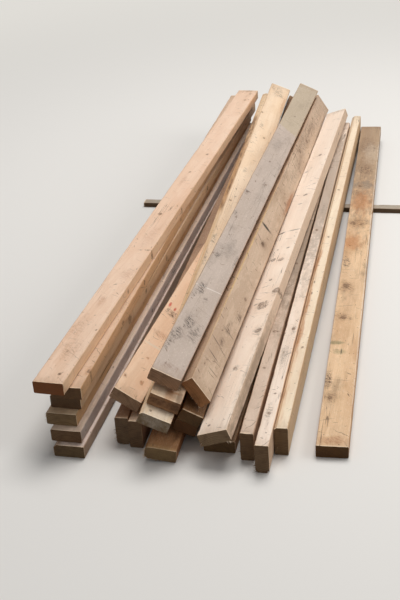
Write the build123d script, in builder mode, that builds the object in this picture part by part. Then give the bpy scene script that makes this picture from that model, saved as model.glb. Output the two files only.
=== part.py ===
from build123d import *
from math import atan2, cos, degrees, hypot, radians, sin, sqrt
import os

# Driving dimensions, in millimetres and degrees.
# X runs across the stack, Y along the boards from the near ends to the far ends, Z is up.
board_length = 2438.0        # eight feet
board_width = 89.0           # planed two-by-four
narrow_width = 64.0          # planed two-by-three
board_thickness = 38.0
edge_radius = 3.0            # planed long edges are eased
batten_length = 1219.0       # four feet
batten_width = 38.0
batten_thickness = 19.0
batten_edge_radius = 1.0
batten_left_end = -614.0
batten_back = 1712.0
batten_turn = 0.45
resting_gap = 0.3            # air left between a board and what it lies on
side_gap = 2.0               # least air left between boards that stand side by side
search_steps = 28            # enough to find how far a board tips to within a thousandth of a degree

# Roll of a board about its length: a negative roll has the right-hand edge low.
splintered_roll = -7.0
lower_narrow_roll = -18.5
pale_roll = 19.0
peach_roll = -31.0
lower_middle_roll = -23.5
upper_narrow_roll = -27.0
yellow_roll = -22.5
tan_roll = -57.5
grey_roll = -24.0

# The round of the log left on a corner of the sawn section.
log_radius = 125.0
log_taper = 2.5              # the log is thinner by this at the board's far end
wane_across = 9.0
wane_down = 8.0

half_width = board_width / 2
half_thickness = board_thickness / 2
flat_to_edgewise = half_width + half_thickness


class Laid:
    """A straight board in its place: its section ring at both ends, its edges and its faces."""

    def __init__(self, length, width, height, radius, start_x, start_y, swing, rise, roll, middle_height):
        s, e, r = radians(swing), radians(rise), radians(roll)
        along = (sin(s) * cos(e), cos(s) * cos(e), sin(e))
        level = (cos(s), -sin(s), 0.0)
        top = (-sin(s) * sin(e), -cos(s) * sin(e), cos(e))
        self.along = along
        self.right = tuple(cos(r) * a + sin(r) * b for a, b in zip(level, top))
        self.up = tuple(cos(r) * b - sin(r) * a for a, b in zip(level, top))
        self.length, self.width, self.height, self.radius = length, width, height, radius
        self.start = (start_x, start_y, middle_height - along[2] * length / 2)
        cut = radius * (2 - sqrt(2))
        w, h = width / 2, height / 2
        ring = [(cut - w, h), (w - cut, h), (w, h - cut), (w, cut - h), (w - cut, -h), (cut - w, -h), (-w, cut - h), (-w, h - cut)]
        near = [self.point(0.0, a, b) for a, b in ring]
        far = [self.point(length, a, b) for a, b in ring]
        self.corners = near + far
        turns = list(zip(ring, ring[1:] + ring[:1], near, far, near[1:] + near[:1], far[1:] + far[:1]))
        self.edges = [edge for _, _, n, f, m, g in turns for edge in ((n, f), (n, m), (f, g))]
        self.faces = [(tuple(-c for c in along), near[0]), (along, far[0])]
        for (a0, b0), (a1, b1), n, *_ in turns:
            size = hypot(a1 - a0, b1 - b0)
            normal = tuple((self.right[k] * (b0 - b1) + self.up[k] * (a1 - a0)) / size for k in range(3))
            self.faces.append((normal, n))
        self.low = [min(p[k] for p in self.corners) for k in range(3)]
        self.high = [max(p[k] for p in self.corners) for k in range(3)]

    def point(self, reach, across, above):
        return tuple(
            self.start[k] + self.along[k] * reach + self.right[k] * across + self.up[k] * above for k in range(3)
        )

    def surface(self, x, y, upper):
        """Height of the top or the underside over a place in plan, or None beside the board."""
        floor, ceiling = -1e9, 1e9
        for (nx, ny, nz), (px, py, pz) in self.faces:
            reach = nx * (px - x) + ny * (py - y)
            if abs(nz) < 1e-9:
                if reach < 0:
                    return None
            elif nz > 0:
                ceiling = min(ceiling, pz + reach / nz)
            else:
                floor = max(floor, pz + reach / nz)
        if floor > ceiling:
            return None
        return ceiling if upper else floor


def crossing(a, b, c, d):
    """Height of edge ab less that of edge cd where they cross in plan, or None."""
    rx, ry, sx, sy = b[0] - a[0], b[1] - a[1], d[0] - c[0], d[1] - c[1]
    turn = rx * sy - ry * sx
    if abs(turn) < 1e-9:
        return None
    qx, qy = c[0] - a[0], c[1] - a[1]
    t, u = (qx * sy - qy * sx) / turn, (qx * ry - qy * rx) / turn
    if not (0 <= t <= 1 and 0 <= u <= 1):
        return None
    return a[2] + t * (b[2] - a[2]) - c[2] - u * (d[2] - c[2])


def air_between(upper, lower):
    """Least height of a board's underside over another's top, wherever one is over the other."""
    if any(upper.low[k] >= lower.high[k] or upper.high[k] <= lower.low[k] for k in (0, 1)):
        return None
    gaps = []
    for x, y, z in upper.corners:
        ceiling = lower.surface(x, y, True)
        if ceiling is not None:
            gaps.append(z - ceiling)
    for x, y, z in lower.corners:
        underside = upper.surface(x, y, False)
        if underside is not None:
            gaps.append(underside - z)
    for a, b in upper.edges:
        left, right = min(a[0], b[0]), max(a[0], b[0])
        for c, d in lower.edges:
            if (c[0] < left and d[0] < left) or (c[0] > right and d[0] > right):
                continue
            gap = crossing(a, b, c, d)
            if gap is not None:
                gaps.append(gap)
    return min(gaps) if gaps else None


def lower_into_place(length, width, height, radius, near_x, far_x, start_y, roll, beneath):
    """Lowers a board onto the floor and the boards beneath, with the middle of its length as low as it goes."""
    swing = degrees(atan2(far_x - near_x, length))

    def placed(rise, middle_height):
        return Laid(length, width, height, radius, near_x, start_y, swing, rise, roll, middle_height)

    def lift(rise):
        trial = placed(rise, 0.0)
        heights = [-trial.low[2]]
        for other in beneath:
            gap = air_between(trial, other)
            if gap is not None:
                heights.append(resting_gap - gap)
        return max(heights)

    golden = (sqrt(5) - 1) / 2
    least, most = -5.0, 5.0
    a, b = most - golden * (most - least), least + golden * (most - least)
    lift_a, lift_b = lift(a), lift(b)
    for _ in range(search_steps):
        if lift_a < lift_b:
            most, b, lift_b = b, a, lift_a
            a = most - golden * (most - least)
            lift_a = lift(a)
        else:
            least, a, lift_a = a, b, lift_b
            b = least + golden * (most - least)
            lift_b = lift(b)
    rise = (least + most) / 2
    return placed(rise, lift(rise))


laid = {}
waney = {}


def lay(name, near, far, back, beneath, roll=0.0, edgewise=False, width=board_width, wane=0.0):
    """Lays one board: near and far are where the ends' middles lie across the stack, back is how far
    the near end is set back, and wane is how much of the full wane its upper left corner has."""
    size = (board_thickness, width) if edgewise else (width, board_thickness)
    supports = [laid[other] for other in beneath.split()]
    laid[name] = lower_into_place(board_length, *size, edge_radius, near, far, back, roll, supports)
    waney[name] = wane


# The batten lies flat on the floor across the stack.
laid["cross_batten"] = Laid(
    batten_length, batten_width, batten_thickness, batten_edge_radius,
    batten_left_end, batten_back, 90 + batten_turn, 0.0, 0.0, batten_thickness / 2,
)
waney["cross_batten"] = 0.0

# Pile of flat boards on the left.
pile_near, pile_far = -407.0, -314.0
lay("left_pile_bottom_board", pile_near + 9, pile_far + 1, -20, "cross_batten", wane=1.0)
lay("left_pile_second_board", pile_near, pile_far, -3, "left_pile_bottom_board")
lay("left_pile_third_board", pile_near - 16, pile_far - 16, 21, "left_pile_second_board")
lay("left_pile_fourth_board", pile_near - 8, pile_far + 1, 48, "left_pile_third_board")
lay("left_pile_fifth_board", pile_near + 1, pile_far - 20, 38, "left_pile_fourth_board")
lay("left_pile_top_board", pile_near - 32, pile_far + 25, -1, "left_pile_fifth_board")

# Two boards on edge and a flat one beside them carry the slanting boards.
outer_near = pile_near + flat_to_edgewise + 80.5
outer_far = pile_far + flat_to_edgewise + side_gap + 0.5
inner_near = outer_near + board_thickness + side_gap + 1
inner_far = outer_far + board_thickness + side_gap + 3
splintered_near = inner_near + flat_to_edgewise + 18.5
splintered_far = inner_far + flat_to_edgewise + side_gap + 3.5
lay("outer_edgewise_board", outer_near, outer_far, 56, "cross_batten", edgewise=True)
lay("inner_edgewise_board", inner_near, inner_far, 44, "cross_batten", edgewise=True)
lay("splintered_floor_board", splintered_near, splintered_far, -13, "cross_batten", roll=splintered_roll)

# Flat board and three boards on edge on the right.
low_near, low_far = 12.0, 46.0
first_near = low_near + flat_to_edgewise + 19.5
first_far = low_far + flat_to_edgewise + side_gap - 1.5
second_near = first_near + board_thickness + 10
second_far = first_far + board_thickness + side_gap
third_near = second_near + board_thickness + side_gap
third_far = second_far + board_thickness + side_gap + 2
lay("low_flat_board", low_near, low_far, 49, "cross_batten")
lay("first_upright_board", first_near, first_far, 20, "cross_batten", edgewise=True)
lay("second_upright_board", second_near, second_far, -30, "cross_batten", edgewise=True)
lay("third_upright_board", third_near, third_far, 55, "cross_batten", edgewise=True, wane=0.8)

# Single board lying apart on the right.
apart_near = third_near + flat_to_edgewise + 73
apart_far = third_far + flat_to_edgewise + side_gap
lay("honey_single_board", apart_near, apart_far, 58, "cross_batten")

# Slanting boards heaped in the middle: where the middles of their near and far ends lie across the stack.
lower_narrow_near, lower_narrow_far = -86.0, -1.0
pale_near, pale_far = 12.0, 112.0
peach_near, peach_far = -253.0, -75.0
lower_middle_near, lower_middle_far = -148.0, -183.0
upper_narrow_near, upper_narrow_far = -68.0, -91.0
yellow_near, yellow_far = -127.0, -150.0
tan_near, tan_far = -53.0, 23.0
grey_near, grey_far = -129.0, -27.0

# Each is lowered onto the boards beneath it, and the boards that carry it are laid first.
lay("narrow_lower_board", lower_narrow_near, lower_narrow_far, 74,
    "cross_batten splintered_floor_board low_flat_board", roll=lower_narrow_roll, width=narrow_width)
lay("pale_wide_board", pale_near, pale_far, -7,
    "low_flat_board first_upright_board narrow_lower_board", roll=pale_roll)
lay("peach_slanting_board", peach_near, peach_far, 82,
    "cross_batten outer_edgewise_board inner_edgewise_board splintered_floor_board narrow_lower_board", roll=peach_roll)
lay("lower_middle_board", lower_middle_near, lower_middle_far, -18,
    "inner_edgewise_board splintered_floor_board peach_slanting_board", roll=lower_middle_roll, wane=1.0)
lay("narrow_shaded_board", upper_narrow_near, upper_narrow_far, 66,
    "narrow_lower_board peach_slanting_board", roll=upper_narrow_roll, width=narrow_width)
lay("yellow_middle_board", yellow_near, yellow_far, 24,
    "lower_middle_board peach_slanting_board narrow_shaded_board", roll=yellow_roll)
lay("tan_leaning_board", tan_near, tan_far, 93,
    "narrow_shaded_board yellow_middle_board pale_wide_board narrow_lower_board low_flat_board", roll=tan_roll)
lay("grey_top_board", grey_near, grey_far, 56,
    "peach_slanting_board yellow_middle_board narrow_shaded_board tan_leaning_board", roll=grey_roll)

# The origin is under the middle of the whole stack.
middle_x = (min(b.low[0] for b in laid.values()) + max(b.high[0] for b in laid.values())) / 2
middle_y = (min(b.low[1] for b in laid.values()) + max(b.high[1] for b in laid.values())) / 2


def moved(point):
    return (point[0] - middle_x, point[1] - middle_y, point[2])


def sawn(board, wane):
    """One board: its eased section run along its length, with the log's round cut into one corner."""
    section_plane = Plane(origin=moved(board.start), x_dir=board.right, z_dir=tuple(-c for c in board.along))
    with BuildPart() as piece:
        with BuildSketch(section_plane):
            RectangleRounded(board.width, board.height, board.radius)
        extrude(amount=-board.length)
        if wane:
            across, down = wane * wane_across, wane * wane_down
            chord = hypot(across, down)
            depth = sqrt(log_radius**2 - (chord / 2) ** 2)
            heart_x = -board.width / 2 + across / 2 + depth * down / chord
            heart_y = board.height / 2 - down / 2 - depth * across / chord
            heart = moved(board.point(board.length / 2, heart_x, heart_y))
            with Locations(Plane(origin=heart, x_dir=board.right, z_dir=board.along)):
                Cone(log_radius, log_radius - log_taper, board.length + 2, mode=Mode.INTERSECT)
    return piece.part


os.makedirs("parts", exist_ok=True)
for name, board in laid.items():
    part = sawn(board, waney[name])
    part.label = name
    export_step(part, f"parts/{name}.step")
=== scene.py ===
import random
from functools import partialmethod, reduce
from math import copysign, cos, pi, radians, sin

import bmesh
import bpy
from mathutils import Matrix, Vector, noise


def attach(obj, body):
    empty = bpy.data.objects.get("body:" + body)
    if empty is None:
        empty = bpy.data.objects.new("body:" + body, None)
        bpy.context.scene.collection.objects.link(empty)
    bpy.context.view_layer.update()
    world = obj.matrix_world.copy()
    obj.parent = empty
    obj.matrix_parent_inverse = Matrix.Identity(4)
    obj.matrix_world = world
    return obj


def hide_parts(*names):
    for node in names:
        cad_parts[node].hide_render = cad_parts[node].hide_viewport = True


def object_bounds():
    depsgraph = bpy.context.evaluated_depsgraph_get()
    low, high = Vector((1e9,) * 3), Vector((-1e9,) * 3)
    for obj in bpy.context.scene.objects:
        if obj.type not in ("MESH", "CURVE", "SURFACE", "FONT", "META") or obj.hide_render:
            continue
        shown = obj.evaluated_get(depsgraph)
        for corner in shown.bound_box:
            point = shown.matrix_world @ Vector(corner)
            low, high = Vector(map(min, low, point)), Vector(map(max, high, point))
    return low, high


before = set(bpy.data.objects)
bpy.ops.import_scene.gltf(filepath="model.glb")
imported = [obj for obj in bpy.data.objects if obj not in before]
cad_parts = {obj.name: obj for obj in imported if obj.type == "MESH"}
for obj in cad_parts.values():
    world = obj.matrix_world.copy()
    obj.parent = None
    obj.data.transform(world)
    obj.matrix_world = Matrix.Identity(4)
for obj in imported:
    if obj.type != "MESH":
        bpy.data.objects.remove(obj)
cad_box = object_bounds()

MM = 0.001
scene = bpy.context.scene
scene.view_settings.view_transform = "Standard"


# ---- Camera ----

CAMERA_SPOT = (0.5835, -3.6617, 1.823)
CAMERA_TURN, CAMERA_PITCH, CAMERA_ROLL = 13.5, 28.05, 4.2    # degrees
SENSOR_WIDTH, FOCAL_LENGTH = 36.0, 67.4                      # millimetres


def place_camera():
    """The camera stands at the near end of the stack and looks down along it."""
    turn, pitch, roll = radians(CAMERA_TURN), radians(CAMERA_PITCH), radians(CAMERA_ROLL)
    level = Vector((cos(turn), sin(turn), 0.0))
    ahead = Vector((-sin(turn) * cos(pitch), cos(turn) * cos(pitch), -sin(pitch)))
    up = level.cross(ahead)
    image_right = level * cos(roll) - up * sin(roll)
    image_up = up * cos(roll) + level * sin(roll)
    matrix = Matrix((image_right, image_up, -ahead)).transposed().to_4x4()
    matrix.translation = Vector(CAMERA_SPOT)
    lens = bpy.data.cameras.new("viewpoint")
    lens.sensor_width = SENSOR_WIDTH
    lens.lens = FOCAL_LENGTH
    lens.clip_start, lens.clip_end = 0.05, 100.0
    viewpoint = bpy.data.objects.new("viewpoint", lens)
    viewpoint.matrix_world = matrix
    scene.collection.objects.link(viewpoint)
    scene.camera = viewpoint


place_camera()


# ---- Helpers for nodes ----

# The noises: waves to the metre across a board, along it and through it, then how many layers of finer waves
# they have and how strong those are.
NOISES = {
    "ring wander": ((9, 1.6, 9), 3, 0.5),
    "fibres": ((1300, 14, 1300), 3, 0.6),
    "streaks": ((26, 1.7, 26), 4, 0.6),
    "knot outline": ((70, 44, 70), 5, 0.75),
    "knot wear": ((130, 90, 130), 4, 0.7),
    "stain border": ((75, 26, 75), 4, 0.65),
    "scribbles": ((75, 270, 120), 4, 0.72),
    "blade drift": ((7, 9, 7), 2, 0.5),
    "sawn patches": ((16, 5, 16), 3, 0.5),
    "bruises": ((90, 22, 90), 4, 0.6),
    "dirt": ((17, 6, 17), 6, 0.68),
    "scuffs": ((420, 7, 420), 2, 0.5),
    "cracks": ((75, 1.5, 75), 2, 0.5),
    "cracked parts": ((9, 2.2, 9), 2, 0.5),
    "handled parts": ((9, 5, 9), 3, 0.6),
    "blushes": ((11, 2.6, 11), 4, 0.6),
    "planer patches": ((13, 4, 13), 4, 0.6),
    "weathered border": ((60, 60, 60), 3, 0.5),
    "nap": ((330, 110, 330), 5, 0.7),
    "end soil": ((45, 45, 45), 5, 0.6),
    "bark border": ((60, 9, 60), 5, 0.65),
    "bark flakes": ((40, 5, 40), 4, 0.6),
    "rough skin": ((240, 60, 240), 4, 0.6),
}


def tone(code):
    """A colour written the usual way, such as c8a070, as the linear values that nodes take."""
    parts = [int(code[i:i + 2], 16) / 255 for i in (0, 2, 4)]
    return tuple(c / 12.92 if c < 0.04045 else ((c + 0.055) / 1.055) ** 2.4 for c in parts) + (1.0,)


class Nodes:
    """Adds nodes to a material or a node group and joins their sockets."""

    def __init__(self, tree):
        self.tree = tree

    def add(self, kind, gives=None, **settings):
        node = self.tree.nodes.new(kind)
        for key, value in settings.items():
            setattr(node, key, value)
        for key, value in (gives or {}).items():
            if isinstance(value, bpy.types.NodeSocket):
                self.tree.links.new(value, node.inputs[key])
            else:
                node.inputs[key].default_value = value
        return node

    def group(self, tree, **gives):
        """A node group in its place. An underscore stands for the space in an input's name."""
        gives = {label.replace("_", " "): value for label, value in gives.items()}
        return self.add("ShaderNodeGroup", gives, node_tree=tree).outputs

    def math(self, operation, *values, clamp=False):
        node = self.add("ShaderNodeMath", dict(enumerate(values)), operation=operation, use_clamp=clamp)
        return node.outputs[0]

    plus, less = partialmethod(math, "ADD"), partialmethod(math, "SUBTRACT")
    times, highest = partialmethod(math, "MULTIPLY"), partialmethod(math, "MAXIMUM")
    size_of = partialmethod(math, "ABSOLUTE")

    def vector(self, operation, *values):
        node = self.add("ShaderNodeVectorMath", dict(enumerate(values)), operation=operation)
        return node.outputs["Value" if operation == "LENGTH" else "Vector"]

    def grown(self, a, size):
        return self.add("ShaderNodeVectorMath", {0: a, "Scale": size}, operation="SCALE").outputs["Vector"]

    def turned(self, a, angle):
        gives = {"Vector": a, "Angle": angle}
        return self.add("ShaderNodeVectorRotate", gives, rotation_type="Z_AXIS").outputs[0]

    def apart(self, a):
        return self.add("ShaderNodeSeparateXYZ", {0: a}).outputs

    def cloud(self, name, place, seed):
        """One of the noises, from 0 to 1."""
        waves, layers, strength = NOISES[name]
        gives = {"Vector": self.vector("MULTIPLY", place, waves), "W": seed, "Scale": 1.0, "Detail": layers,
                 "Roughness": strength}
        return self.add("ShaderNodeTexNoise", gives, noise_dimensions="4D").outputs["Fac"]

    def sway(self, name, place, seed):
        """One of the noises, from -0.5 to 0.5."""
        return self.less(self.cloud(name, place, seed), 0.5)

    def step(self, value, low, high, least=0.0, most=1.0):
        """A soft step from low to high."""
        gives = {"Value": value, "From Min": low, "From Max": high, "To Min": least, "To Max": most}
        return self.add("ShaderNodeMapRange", gives, interpolation_type="SMOOTHSTEP").outputs[0]

    def mix(self, share, a, b, blend="MIX"):
        node = self.add("ShaderNodeMix", {0: share, 6: a, 7: b}, data_type="RGBA", blend_type=blend)
        return node.outputs[2]


def effect(name, vectors, values, gives):
    """A node group with named inputs and outputs: its tree, nodes, inputs and a way to join its outputs."""
    tree = bpy.data.node_groups.new(name, "ShaderNodeTree")
    for in_out, kind, labels in (("INPUT", "NodeSocketVector", vectors), ("INPUT", "NodeSocketFloat", values),
                                 ("OUTPUT", "NodeSocketFloat", gives)):
        for label in labels:
            tree.interface.new_socket(name=label, in_out=in_out, socket_type=kind)
    start = tree.nodes.new("NodeGroupInput").outputs
    end = tree.nodes.new("NodeGroupOutput").inputs

    def put_out(**results):
        for label, socket in results.items():
            tree.links.new(socket, end[label])

    return tree, Nodes(tree), start, put_out


# ---- Effects that every board uses ----

def growth_effect():
    """Yearly rings round the pith of the log, with fine fibres and broad streaks along the board."""
    tree, n, taken, put_out = effect(
        "yearly growth", ("Place", "Pith", "Lean"), ("Ring Width", "Wander", "Bend", "Seed"),
        ("Late", "Tone", "Fibre", "Broad"))
    change_of_years, unevenness = 0.31, 2.0
    late_starts, late_full, late_ends, year_ends = 0.3, 0.88, 0.92, 1.0
    place, seed = taken["Place"], taken["Seed"]
    leaning = n.grown(taken["Lean"], n.apart(place)["Y"])
    from_pith = n.vector("SUBTRACT", n.vector("SUBTRACT", place, taken["Pith"]), leaning)
    reach = n.vector("LENGTH", n.vector("MULTIPLY", from_pith, (1, 0, 1)))
    reach = n.plus(reach, n.times(n.sway("ring wander", place, seed), taken["Wander"]))
    reach = n.plus(reach, taken["Bend"])
    count = n.math("DIVIDE", reach, taken["Ring Width"])
    uneven = n.add("ShaderNodeTexNoise", {"W": n.plus(n.times(count, change_of_years), seed), "Scale": 1.0},
                   noise_dimensions="1D").outputs["Fac"]
    count = n.plus(count, n.times(uneven, unevenness))
    part = n.math("FRACT", count)
    late = n.times(n.step(part, late_starts, late_full), n.step(part, year_ends, late_ends))
    year = n.add("ShaderNodeTexWhiteNoise", {"W": n.plus(n.math("FLOOR", count), seed)},
                 noise_dimensions="1D").outputs["Value"]
    put_out(Late=late, Tone=year, Fibre=n.cloud("fibres", place, seed), Broad=n.cloud("streaks", place, seed))
    return tree


def knot_effect():
    """A knot: its dark heart, the ring of bark round it, and how far it pushes the yearly rings aside."""
    tree, n, taken, put_out = effect("knot", ("Place", "Middle", "Size"), ("Seed",), ("Heart", "Rim", "Bend"))
    place, seed = taken["Place"], taken["Seed"]
    raggedness, least_heart = 2.6, 0.35
    away = n.vector("DIVIDE", n.vector("SUBTRACT", place, taken["Middle"]), taken["Size"])
    distance = n.vector("LENGTH", away)
    ragged = n.plus(distance, n.times(n.sway("knot outline", place, seed), raggedness))
    worn_through = n.step(n.cloud("knot wear", place, seed), 0.36, 0.6)
    heart = n.times(n.step(ragged, 1.15, 0.7), n.plus(least_heart, n.times(worn_through, 1 - least_heart)))
    rim = n.times(n.step(ragged, 0.6, 0.95), n.step(ragged, 1.4, 1.05))
    bend = n.times(n.step(distance, 5.0, 0.5), n.apart(taken["Size"])["Y"])
    put_out(Heart=heart, Rim=n.times(rim, worn_through), Bend=bend)
    return tree


def stain_or_painted_light_effect():
    """A stain with a ragged border, turned on its face and broken up into slanting scribbles; the same patch
    also lays the painted shade and the painted highlight strips.
    """
    tree, n, taken, put_out = effect("stain", ("Place", "Middle", "Reach"),
                                     ("Raggedness", "Scribble", "Turn", "Seed"), ("Mask",))
    place, seed = taken["Place"], taken["Seed"]
    scribble_slant = 0.65
    away = n.turned(n.vector("SUBTRACT", place, taken["Middle"]), taken["Turn"])
    away = n.vector("DIVIDE", away, taken["Reach"])
    distance = n.vector("LENGTH", away)
    ragged = n.plus(distance, n.times(n.sway("stain border", place, seed), taken["Raggedness"]))
    between = n.step(n.cloud("scribbles", n.turned(place, scribble_slant), seed), 0.57, 0.47)
    kept = n.less(1.0, n.times(between, taken["Scribble"]))
    put_out(Mask=n.times(n.step(ragged, 1.1, 0.3), kept))
    return tree


def saw_effect():
    """Marks that a saw's teeth leave across a face, in patches."""
    tree, n, taken, put_out = effect("saw marks", ("Place",), ("Pitch", "Slant", "Seed"), ("Mark",))
    place, seed = taken["Place"], taken["Seed"]
    across, along, _ = n.apart(place)
    line = n.plus(along, n.times(across, taken["Slant"]))
    phase = n.plus(n.math("DIVIDE", line, taken["Pitch"]), n.cloud("blade drift", place, seed))
    wave = n.math("SINE", n.times(phase, 2 * pi))
    patches = n.step(n.cloud("sawn patches", place, seed), 0.45, 0.66)
    put_out(Mark=n.times(n.step(wave, 0.1, 1.0), patches))
    return tree


def wear_effect():
    """Bruised edges, soiled ends with a light rim of sawn fibres and painted highlight, blotches of dirt,
    thin scuffs and drying cracks.
    """
    tree, n, taken, put_out = effect("wear and dirt", ("Place", "Half Size"), ("Seed",),
                                     ("Edge", "Ends", "Rim", "Dirt", "Scuffs", "Cracks"))
    bruise, crack_width = 0.012, 0.0075
    edge_reach, end_reach, rim_reach, rim_full = 0.006, 0.055, 0.006, 0.002
    place, seed = taken["Place"], taken["Seed"]
    inside = n.apart(n.vector("SUBTRACT", taken["Half Size"], n.vector("ABSOLUTE", place)))
    rough = n.times(n.sway("bruises", place, seed), bruise)
    crack = n.step(n.size_of(n.sway("cracks", place, seed)), crack_width, 0.002)
    put_out(Edge=n.step(n.plus(n.highest(inside["X"], inside["Z"]), rough), edge_reach, 0.0),
            Ends=n.step(n.plus(inside["Y"], n.times(rough, 9.0)), end_reach, 0.0),
            Rim=n.step(n.plus(inside["Y"], n.times(rough, 0.6)), rim_reach, rim_full),
            Dirt=n.step(n.cloud("dirt", place, seed), 0.52, 0.74),
            Scuffs=n.step(n.cloud("scuffs", place, seed), 0.64, 0.74),
            Cracks=n.times(crack, n.step(n.cloud("cracked parts", place, seed), 0.52, 0.62)))
    return tree


# Strokes of the handling marks: the net's cell, the longest stroke and its thickness, in metres, the share of
# empty cells, how far the strokes turn from the lean, and the net's shift.
LONG_SCRATCHES = (0.055, 0.050, 0.0014, 0.35, 1.1, 0.0)
LONGER_SCRATCHES = (0.09, 0.085, 0.0017, 0.45, 1.6, 7.3)
LONG_TICKS = (0.055, 0.017, 0.0022, 0.7, 3.1, 2.1)
SHORT_TICKS = (0.024, 0.009, 0.0012, 0.8, 3.1, 4.9)


def handling_effect():
    """What handling leaves: thin dark scratches, most of them leaning one way, and short dark ticks."""
    tree, n, taken, put_out = effect("handling marks", ("Flat",), ("Lean", "Seed"), ("Scratches", "Ticks"))
    shake_scale, shake_size = 70.0, 0.012
    flat, seed = taken["Flat"], taken["Seed"]
    start = n.add("ShaderNodeCombineXYZ", {"X": seed, "Y": n.times(seed, 0.37)}).outputs[0]
    gives = {"Vector": flat, "Scale": shake_scale, "Detail": 3.0}
    shake = n.add("ShaderNodeTexNoise", gives).outputs["Color"]
    bent = n.vector("ADD", flat, n.grown(n.vector("SUBTRACT", shake, (0.5, 0.5, 0.5)), shake_size))

    def strokes(cell, longest, thickness, empty, spread, shift):
        """One stroke in some of the cells of a loose net, each turned and shortened its own way."""
        at = n.vector("ADD", n.vector("ADD", n.grown(bent, 1 / cell), start), (shift, shift, 0.0))
        net = n.add("ShaderNodeTexVoronoi", {"Vector": at, "Scale": 1.0, "Randomness": 0.85},
                    voronoi_dimensions="2D").outputs
        drawn = n.apart(net["Color"])
        turn = n.plus(taken["Lean"], n.times(n.less(drawn["X"], 0.5), spread))
        away = n.apart(n.turned(n.grown(n.vector("SUBTRACT", at, net["Position"]), cell), turn))
        reach = n.times(n.plus(drawn["Y"], 0.3), longest * 0.5)
        beyond = n.math("POWER", n.math("DIVIDE", n.size_of(away["X"]), reach), 2.0)
        line = n.plus(n.math("DIVIDE", n.size_of(away["Y"]), thickness), beyond)
        return n.times(n.step(line, 1.0, 0.5), n.math("GREATER_THAN", drawn["Z"], empty))

    handled = n.step(n.cloud("handled parts", flat, n.plus(seed, 3.0)), 0.44, 0.56)
    scratches = n.highest(strokes(*LONG_SCRATCHES), strokes(*LONGER_SCRATCHES))
    put_out(Scratches=n.times(scratches, handled),
            Ticks=n.highest(strokes(*LONG_TICKS), strokes(*SHORT_TICKS)))
    return tree


GROWTH, KNOT, STAIN_OR_PAINTED_LIGHT, SAW, WEAR = growth_effect(), knot_effect(), stain_or_painted_light_effect(), saw_effect(), wear_effect()
HANDLING = handling_effect()


# ---- The wood of a board ----

# Colours of the stains and marks. The stain kind called shade is painted shade, and the straw strips are
# painted highlights.
STAIN_AND_PAINTED_LIGHT_TONES = {"grey": "6f665d", "brown": "6b4022", "orange": "b06a2c", "green": "807a52", "crayon": "cc3a2a",
          "pale": "e6d9c6", "bark": "4a2c19", "rust": "9a5a2c", "umber": "4d2e19", "soot": "3b332d",
          "gash": "362c25", "scored": "ece4da", "straw": "dfbd85", "shade": "7d6a58"}

# How far each stain breaks up into scribbles, if it does.
SCRIBBLE = {"soot": 0.92, "bark": 0.85, "brown": 0.8, "grey": 0.6, "rust": 0.6, "orange": 0.35, "green": 0.35,
            "pale": 0.35, "crayon": 0.3, "straw": 0.2}

# How ragged the border of a stain is.
USUAL_RAGGEDNESS = 1.8
RAGGED = {"gash": 0.55, "scored": 0.3, "straw": 0.9, "crayon": 1.0}

# Tones that every board shares. The light rim at the ends is partly sawn fibres and partly painted highlight
# on the end arrises.
RAISED_NAP, HANDLED_END, SAWN_RIM_AND_HIGHLIGHT, END_SOIL = "fbeedd", "8a6440", "f5dcba", "4f3625"
SAW_MARK, SCUFF, TICK, SCRATCH, CRACK = "8a6b4c", "f0e0c8", "5f4630", "4c392a", "3a2616"

# A board's look, where its own doesn't say.
USUAL = dict(
    stains=(), edgewise=False, late_share=0.15, blush_share=0.35, planed=0.14, edge="a87c52",
    heart="66452e", rim="3d2818", rim_share=0.45, bark_share=0.6, inner_bark="b07f52", flakes=STAIN_AND_PAINTED_LIGHT_TONES["bark"],
    saw=0.18, pitch=4.5, slant=0.25, dirt_tone="8d7457", ticks=0.55, scratches=0.5, cracks=0.8)

RING_WANDER, KNOT_LENGTH_DOWN, KNOT_LENGTH_ACROSS = 0.012, 0.06, 0.05     # metres
USUAL_STRETCH, SCRATCH_LEAN = 1.3, 0.35
FACING_FROM, FACING_FULLY = 0.55, 0.8


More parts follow.
